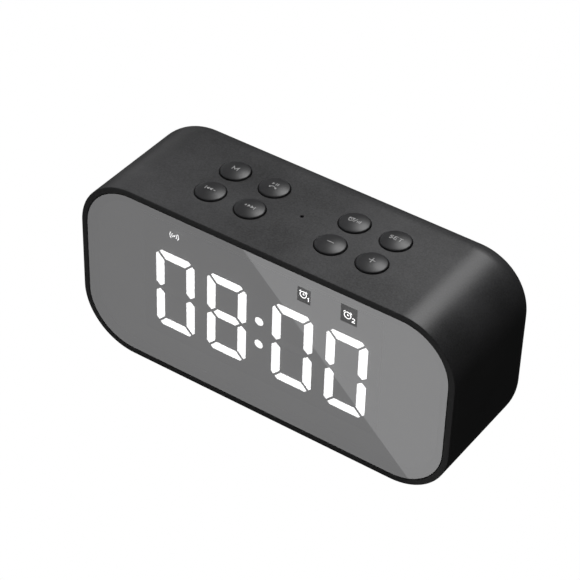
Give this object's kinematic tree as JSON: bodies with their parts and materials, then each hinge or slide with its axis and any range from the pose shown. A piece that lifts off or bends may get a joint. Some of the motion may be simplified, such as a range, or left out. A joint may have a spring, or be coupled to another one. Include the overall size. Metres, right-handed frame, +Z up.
{
  "type": "clock radio",
  "caption": "Rounded black table clock radio with a mirror display, domed top buttons and a perforated rear speaker grille.",
  "frame": {"origin": "under the middle of the body, on the surface that the feet stand on", "axes": "+X to the right seen from the display, +Y from the display to the back, +Z up"},
  "size_m": [0.14, 0.049, 0.0685],
  "materials": {
    "housing_plastic": "fine-grained satin black",
    "cover_plastic": "fine-grained black",
    "grille_steel": "black powder coat",
    "rubber": "matt",
    "black_screws": "black zinc",
    "inner_plastic": "moulded",
    "mirror_lens": "half-mirror acrylic",
    "tape": "foam tape",
    "mask_film": "black film",
    "white_plastic": "moulded",
    "lit_segments": "emissive diffuser, lit white",
    "unlit_segments": "diffuser, not lit",
    "sign_windows": "smoked, with a lit sign",
    "circuit_board": "green solder mask",
    "led_body": "phosphor",
    "chip_plastic": "moulded epoxy",
    "plated_screws": "zinc plated",
    "button_plastic": "fine-grained satin black",
    "plunger_plastic": "moulded",
    "switch_plastic": "moulded",
    "slider_plastic": "moulded",
    "speaker_steel": "black stamped steel",
    "magnet": "ferrite and plated steel",
    "cone_paper": "coated pulp",
    "spider_cloth": "resin-treated cloth",
    "gasket_foam": "foam",
    "socket_metal": "nickel plated",
    "battery_foil": "pouch foil",
    "lead_sleeve": "PVC sleeve",
    "ribbon_film": "flat film"
  },
  "bodies": {
    "chassis": {"housing_shell": "housing_plastic", "rear_cover": "cover_plastic", "rear_grille": "grille_steel", "rubber_feet": "rubber", "cover_screws": "black_screws", "front_frame": "inner_plastic", "mirror_lens": "mirror_lens", "lens_tape": "tape", "light_mask": "mask_film", "segment_block": "white_plastic", "lit_segments": "lit_segments", "unlit_segments": "unlit_segments", "sign_windows": "sign_windows", "display_board": "circuit_board", "segment_leds": "led_body", "display_chips": "chip_plastic", "frame_screws": "plated_screws", "board_screws": "plated_screws", "tact_switches": "switch_plastic", "button_board": "circuit_board", "microphone": "socket_metal", "mic_boot": "rubber", "speaker_baskets": "speaker_steel", "speaker_magnets": "magnet", "speaker_surround_left": "rubber", "speaker_surround_right": "rubber", "speaker_spider_left": "spider_cloth", "speaker_spider_right": "spider_cloth", "speaker_gaskets": "gasket_foam", "speaker_screws": "plated_screws", "main_board": "circuit_board", "board_components": "chip_plastic", "usb_socket": "socket_metal", "aux_jack": "switch_plastic", "card_socket": "socket_metal", "switch_body": "socket_metal", "battery_cell": "battery_foil", "battery_pad": "tape", "speaker_leads": "lead_sleeve", "battery_leads": "lead_sleeve", "ribbon_cables": "ribbon_film"},
    "key_menu": {"button_menu": "button_plastic", "plunger_menu": "plunger_plastic"},
    "key_play": {"button_play": "button_plastic", "plunger_play": "plunger_plastic"},
    "key_previous": {"button_previous": "button_plastic", "plunger_previous": "plunger_plastic"},
    "key_next": {"button_next": "button_plastic", "plunger_next": "plunger_plastic"},
    "key_alarm": {"button_alarm": "button_plastic", "plunger_alarm": "plunger_plastic"},
    "key_set": {"button_set": "button_plastic", "plunger_set": "plunger_plastic"},
    "key_minus": {"button_minus": "button_plastic", "plunger_minus": "plunger_plastic"},
    "key_plus": {"button_plus": "button_plastic", "plunger_plus": "plunger_plastic"},
    "slider": {"switch_slider": "slider_plastic"},
    "cone_left": {"speaker_cone_left": "cone_paper"},
    "cone_right": {"speaker_cone_right": "cone_paper"}
  },
  "joints": [
    {"name": "menu_press", "type": "slide", "parent": "chassis", "child": "key_menu", "axis": [0, 0, -1], "range_m": [0, 0.0005], "stiffness_N_per_m": 500},
    {"name": "play_press", "type": "slide", "parent": "chassis", "child": "key_play", "axis": [0, 0, -1], "range_m": [0, 0.0005], "stiffness_N_per_m": 500},
    {"name": "previous_press", "type": "slide", "parent": "chassis", "child": "key_previous", "axis": [0, 0, -1], "range_m": [0, 0.0005], "stiffness_N_per_m": 500},
    {"name": "next_press", "type": "slide", "parent": "chassis", "child": "key_next", "axis": [0, 0, -1], "range_m": [0, 0.0005], "stiffness_N_per_m": 500},
    {"name": "alarm_press", "type": "slide", "parent": "chassis", "child": "key_alarm", "axis": [0, 0, -1], "range_m": [0, 0.0005], "stiffness_N_per_m": 500},
    {"name": "set_press", "type": "slide", "parent": "chassis", "child": "key_set", "axis": [0, 0, -1], "range_m": [0, 0.0005], "stiffness_N_per_m": 500},
    {"name": "minus_press", "type": "slide", "parent": "chassis", "child": "key_minus", "axis": [0, 0, -1], "range_m": [0, 0.0005], "stiffness_N_per_m": 500},
    {"name": "plus_press", "type": "slide", "parent": "chassis", "child": "key_plus", "axis": [0, 0, -1], "range_m": [0, 0.0005], "stiffness_N_per_m": 500},
    {"name": "power_slide", "type": "slide", "parent": "chassis", "child": "slider", "axis": [1, 0, 0], "range_m": [0, 0.002]},
    {"name": "cone_left_travel", "type": "slide", "parent": "chassis", "child": "cone_left", "axis": [0, 1, 0], "range_m": [-0.0012, 0.0012], "stiffness_N_per_m": 400, "deforming": ["speaker_surround_left", "speaker_spider_left"]},
    {"name": "cone_right_travel", "type": "slide", "parent": "chassis", "child": "cone_right", "axis": [0, 1, 0], "range_m": [-0.0012, 0.0012], "stiffness_N_per_m": 400, "deforming": ["speaker_surround_right", "speaker_spider_right"]}
  ]
}
